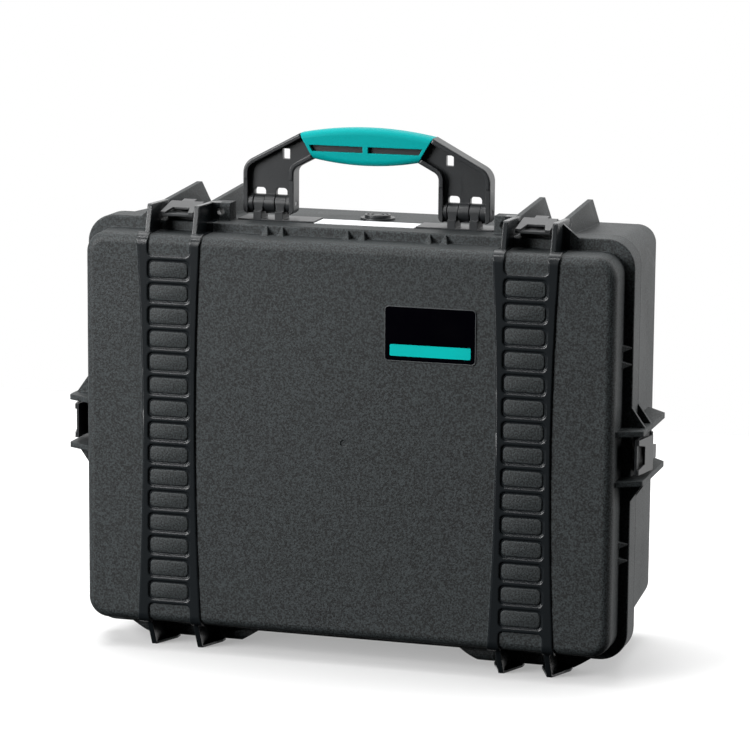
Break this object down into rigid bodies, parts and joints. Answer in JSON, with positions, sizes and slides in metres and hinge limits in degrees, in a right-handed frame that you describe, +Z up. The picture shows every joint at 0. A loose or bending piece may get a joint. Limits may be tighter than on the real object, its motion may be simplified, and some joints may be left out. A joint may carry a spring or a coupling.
{
  "type": "hard carrying case",
  "caption": "Upright hard carrying case with a ribbed lid on bottom hinges, two-stage latches, a folding handle, a pressure valve and padlock lugs.",
  "frame": {"origin": "centre of the whole case on the floor that its feet stand on", "axes": "+X across the case, +Y from the lid's face to the base's back, +Z up to the handle"},
  "size_m": [0.5726, 0.2178, 0.506],
  "materials": {
    "case_plastic": "fine moulded grain",
    "latch_plastic": "satin",
    "handle_plastic": "satin",
    "grip_rubber": "soft satin",
    "seal_rubber": "matt",
    "pin_steel": "drawn",
    "valve_plastic": "smooth",
    "plate_black": "smooth",
    "plate_teal": "printed film",
    "label_metal": "bare foil"
  },
  "bodies": {
    "base": {"base_shell": "case_plastic", "hinge_pin_left": "pin_steel", "hinge_pin_right": "pin_steel", "handle_mount_left": "handle_plastic", "handle_mount_right": "handle_plastic", "handle_pin_left": "pin_steel", "handle_pin_right": "pin_steel", "handle_mount_screws": "pin_steel", "valve_body": "valve_plastic", "valve_cap": "valve_plastic", "valve_seal": "seal_rubber", "valve_nut": "valve_plastic", "id_label": "label_metal", "top_latch_left_claw_pin": "pin_steel", "side_latch_left_claw_pin": "pin_steel", "top_latch_right_claw_pin": "pin_steel", "side_latch_right_claw_pin": "pin_steel"},
    "lid": {"lid_shell": "case_plastic", "lid_seal": "seal_rubber", "name_plate": "plate_black", "name_plate_inlay": "plate_teal"},
    "handle": {"handle_frame": "handle_plastic", "handle_grip": "grip_rubber"},
    "top_latch_left_claw": {"top_latch_left_claw": "latch_plastic", "top_latch_left_lever_pin": "pin_steel"},
    "top_latch_left_lever": {"top_latch_left_lever": "latch_plastic"},
    "side_latch_left_claw": {"side_latch_left_claw": "latch_plastic", "side_latch_left_lever_pin": "pin_steel"},
    "side_latch_left_lever": {"side_latch_left_lever": "latch_plastic"},
    "top_latch_right_claw": {"top_latch_right_claw": "latch_plastic", "top_latch_right_lever_pin": "pin_steel"},
    "top_latch_right_lever": {"top_latch_right_lever": "latch_plastic"},
    "side_latch_right_claw": {"side_latch_right_claw": "latch_plastic", "side_latch_right_lever_pin": "pin_steel"},
    "side_latch_right_lever": {"side_latch_right_lever": "latch_plastic"}
  },
  "joints": [
    {"name": "lid_hinge", "type": "hinge", "parent": "base", "child": "lid", "pos_m": [0, -0.0471, 0.0092], "axis": [1, 0, 0], "range_deg": [0, 105]},
    {"name": "handle_fold", "type": "hinge", "parent": "base", "child": "handle", "pos_m": [0, -0.0321, 0.4305], "axis": [-1, 0, 0], "range_deg": [0, 90]},
    {"name": "top_latch_left_swing", "type": "hinge", "parent": "base", "child": "top_latch_left_claw", "pos_m": [-0.174, -0.0391, 0.424], "axis": [-1, 0, 0], "range_deg": [0, 100]},
    {"name": "top_latch_left_lift", "type": "hinge", "parent": "top_latch_left_claw", "child": "top_latch_left_lever", "pos_m": [-0.174, -0.0531, 0.425], "axis": [-1, 0, 0], "range_deg": [0, 20]},
    {"name": "side_latch_left_swing", "type": "hinge", "parent": "base", "child": "side_latch_left_claw", "pos_m": [-0.2781, -0.0391, 0.21615], "axis": [0, 0, -1], "range_deg": [0, 100]},
    {"name": "side_latch_left_lift", "type": "hinge", "parent": "side_latch_left_claw", "child": "side_latch_left_lever", "pos_m": [-0.2791, -0.0531, 0.21615], "axis": [0, 0, -1], "range_deg": [0, 20]},
    {"name": "top_latch_right_swing", "type": "hinge", "parent": "base", "child": "top_latch_right_claw", "pos_m": [0.174, -0.0391, 0.424], "axis": [-1, 0, 0], "range_deg": [0, 100]},
    {"name": "top_latch_right_lift", "type": "hinge", "parent": "top_latch_right_claw", "child": "top_latch_right_lever", "pos_m": [0.174, -0.0531, 0.425], "axis": [-1, 0, 0], "range_deg": [0, 20]},
    {"name": "side_latch_right_swing", "type": "hinge", "parent": "base", "child": "side_latch_right_claw", "pos_m": [0.2781, -0.0391, 0.21615], "axis": [0, 0, 1], "range_deg": [0, 100]},
    {"name": "side_latch_right_lift", "type": "hinge", "parent": "side_latch_right_claw", "child": "side_latch_right_lever", "pos_m": [0.2791, -0.0531, 0.21615], "axis": [0, 0, 1], "range_deg": [0, 20]}
  ]
}
